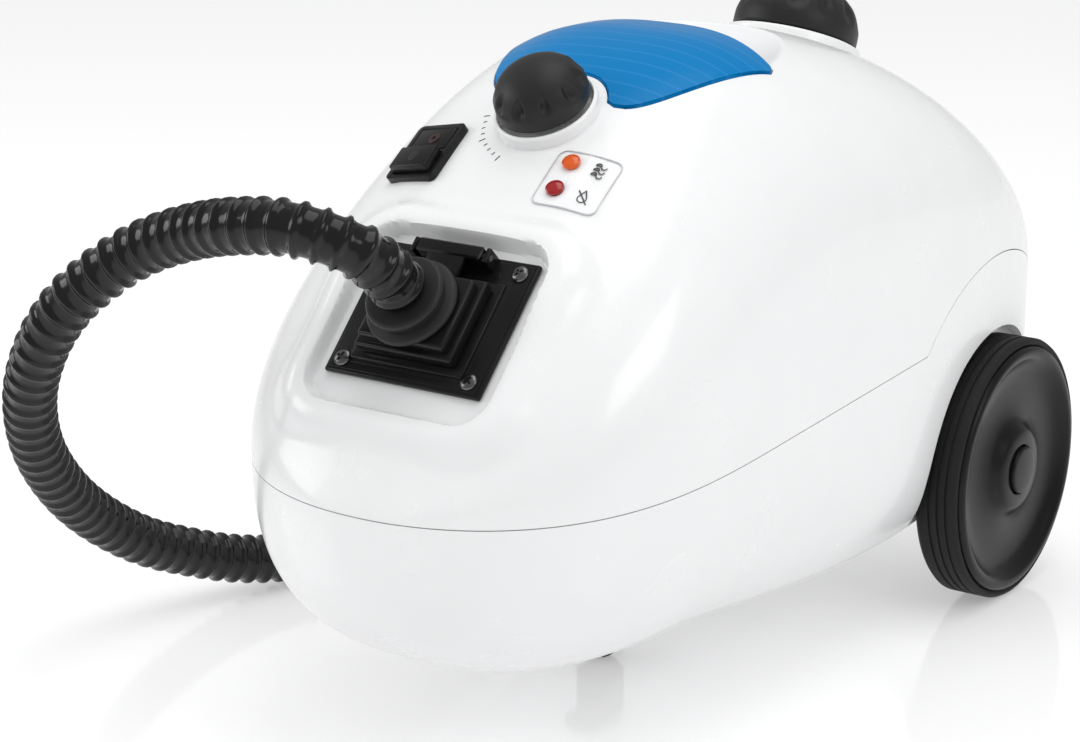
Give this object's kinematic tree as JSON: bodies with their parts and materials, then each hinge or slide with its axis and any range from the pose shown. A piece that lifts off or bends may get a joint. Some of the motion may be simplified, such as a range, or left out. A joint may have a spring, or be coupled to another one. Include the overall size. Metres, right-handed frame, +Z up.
{
  "type": "steam cleaner",
  "caption": "Canister steam cleaner with a white egg-shaped body, two large rear wheels, a front caster, blue tank lid and a black hose with a steam gun.",
  "frame": {"origin": "floor level under the centre of the machine (without its free hose)", "axes": "+Z up, -Y towards the nose with the hose socket, +Y towards the tail with the wheels, +X to the right of someone looking from the nose to the tail"},
  "size_m": [0.502, 0.7886, 0.3234],
  "materials": {
    "white_gloss": "glossy injection-moulded white plastic",
    "black_gloss": "glossy black plastic",
    "soft_black": "fine satin dark grey plastic",
    "black_rubber": "moulded black rubber",
    "blue_translucent": "glossy translucent blue plastic with faint lateral ribs",
    "red_lens": "clear red lens",
    "amber_lens": "clear amber lens",
    "steel": "plain machined steel",
    "brass": "machined brass",
    "tank_plastic": "pale translucent polypropylene",
    "silicone": "pale silicone tube",
    "board_green": "green circuit board"
  },
  "bodies": {
    "base": {"boiler": "steel", "cap_seat": "white_gloss", "caster_socket": "steel", "control_board": "board_green", "dial_seat": "white_gloss", "filler_strainer": "soft_black", "gun_body": "soft_black", "gun_nozzle": "steel", "heating_ring": "steel", "hinge_pin": "steel", "hose_plug": "black_gloss", "indicator_panel": "black_gloss", "latch_pin": "steel", "left_hinge_bracket": "tank_plastic", "lower_housing": "white_gloss", "mains_inlet": "black_gloss", "outlet_pipe": "brass", "plate_screw_1": "soft_black", "plate_screw_2": "soft_black", "plate_screw_3": "soft_black", "plate_screw_4": "soft_black", "plug_collar": "soft_black", "ready_lens": "amber_lens", "rear_axle": "steel", "right_hinge_bracket": "tank_plastic", "safety_valve": "brass", "socket_body": "brass", "socket_plate": "black_gloss", "solenoid_valve": "brass", "steam_hose": "soft_black", "steam_pipe": "brass", "steam_valve": "brass", "switch_bezel": "black_gloss", "switch_block": "black_gloss", "thermostat": "black_gloss", "trigger_pin": "steel", "upper_housing": "white_gloss", "water_lens": "red_lens", "water_pipe": "silicone", "water_pump": "steel", "water_tank": "tank_plastic"},
    "steam_dial": {"steam_dial": "soft_black", "dial_spindle": "steel"},
    "power_button": {"power_button": "black_gloss"},
    "steam_button": {"steam_button": "black_gloss"},
    "tank_lid": {"tank_lid": "blue_translucent"},
    "boiler_cap": {"boiler_cap": "soft_black"},
    "left_wheel": {"left_wheel": "black_gloss", "left_tyre": "black_rubber", "left_hub_cap": "black_gloss"},
    "right_wheel": {"right_wheel": "black_gloss", "right_tyre": "black_rubber", "right_hub_cap": "black_gloss"},
    "caster_fork": {"caster_fork": "soft_black", "caster_pin": "steel"},
    "caster_wheel": {"caster_wheel": "black_rubber"},
    "plug_latch": {"plug_latch": "black_gloss"},
    "gun_trigger": {"gun_trigger": "black_gloss"}
  },
  "joints": [
    {"name": "steam_dial_turn", "type": "hinge", "parent": "base", "child": "steam_dial", "pos_m": [0, -0.097, 0.28654], "axis": [0, -0.5085, 0.8611], "range_deg": [0, 270]},
    {"name": "power_button_slide", "type": "slide", "parent": "base", "child": "power_button", "axis": [-0.2295, -0.5524, 0.8014], "range_m": [0, 0.004]},
    {"name": "steam_button_press", "type": "slide", "parent": "base", "child": "steam_button", "axis": [0.2295, 0.5524, -0.8014], "range_m": [0, 0.004], "stiffness_N_per_m": 250, "springref_m": -0.001},
    {"name": "tank_lid_hinge", "type": "hinge", "parent": "base", "child": "tank_lid", "pos_m": [0, -0.048, 0.29942], "axis": [1, 0, 0], "range_deg": [0, 35]},
    {"name": "boiler_cap_turn", "type": "hinge", "parent": "base", "child": "boiler_cap", "pos_m": [0, 0.13, 0.28667], "axis": [0, 0.3898, 0.9209], "range_deg": [0, 90]},
    {"name": "left_wheel_roll", "type": "hinge", "parent": "base", "child": "left_wheel", "pos_m": [-0.1195, 0.1512, 0.07], "axis": [1, 0, 0], "continuous": true},
    {"name": "right_wheel_roll", "type": "hinge", "parent": "base", "child": "right_wheel", "pos_m": [0.1195, 0.1512, 0.07], "axis": [1, 0, 0], "continuous": true},
    {"name": "caster_swivel", "type": "hinge", "parent": "base", "child": "caster_fork", "pos_m": [0, -0.06, 0.03], "axis": [0, 0, 1], "continuous": true},
    {"name": "caster_wheel_roll", "type": "hinge", "parent": "caster_fork", "child": "caster_wheel", "pos_m": [0, -0.05, 0.012], "axis": [1, 0, 0], "continuous": true},
    {"name": "plug_latch_tilt", "type": "hinge", "parent": "base", "child": "plug_latch", "pos_m": [0, -0.1734, 0.23509], "axis": [-1, 0, 0], "range_deg": [0, 12], "stiffness_Nm_per_rad": 0.05, "springref_deg": -5.73},
    {"name": "gun_trigger_pull", "type": "hinge", "parent": "base", "child": "gun_trigger", "pos_m": [-0.27914, 0.21996, 0.015], "axis": [0, 0, 1], "range_deg": [0, 14], "stiffness_Nm_per_rad": 0.06, "springref_deg": -5.73}
  ]
}
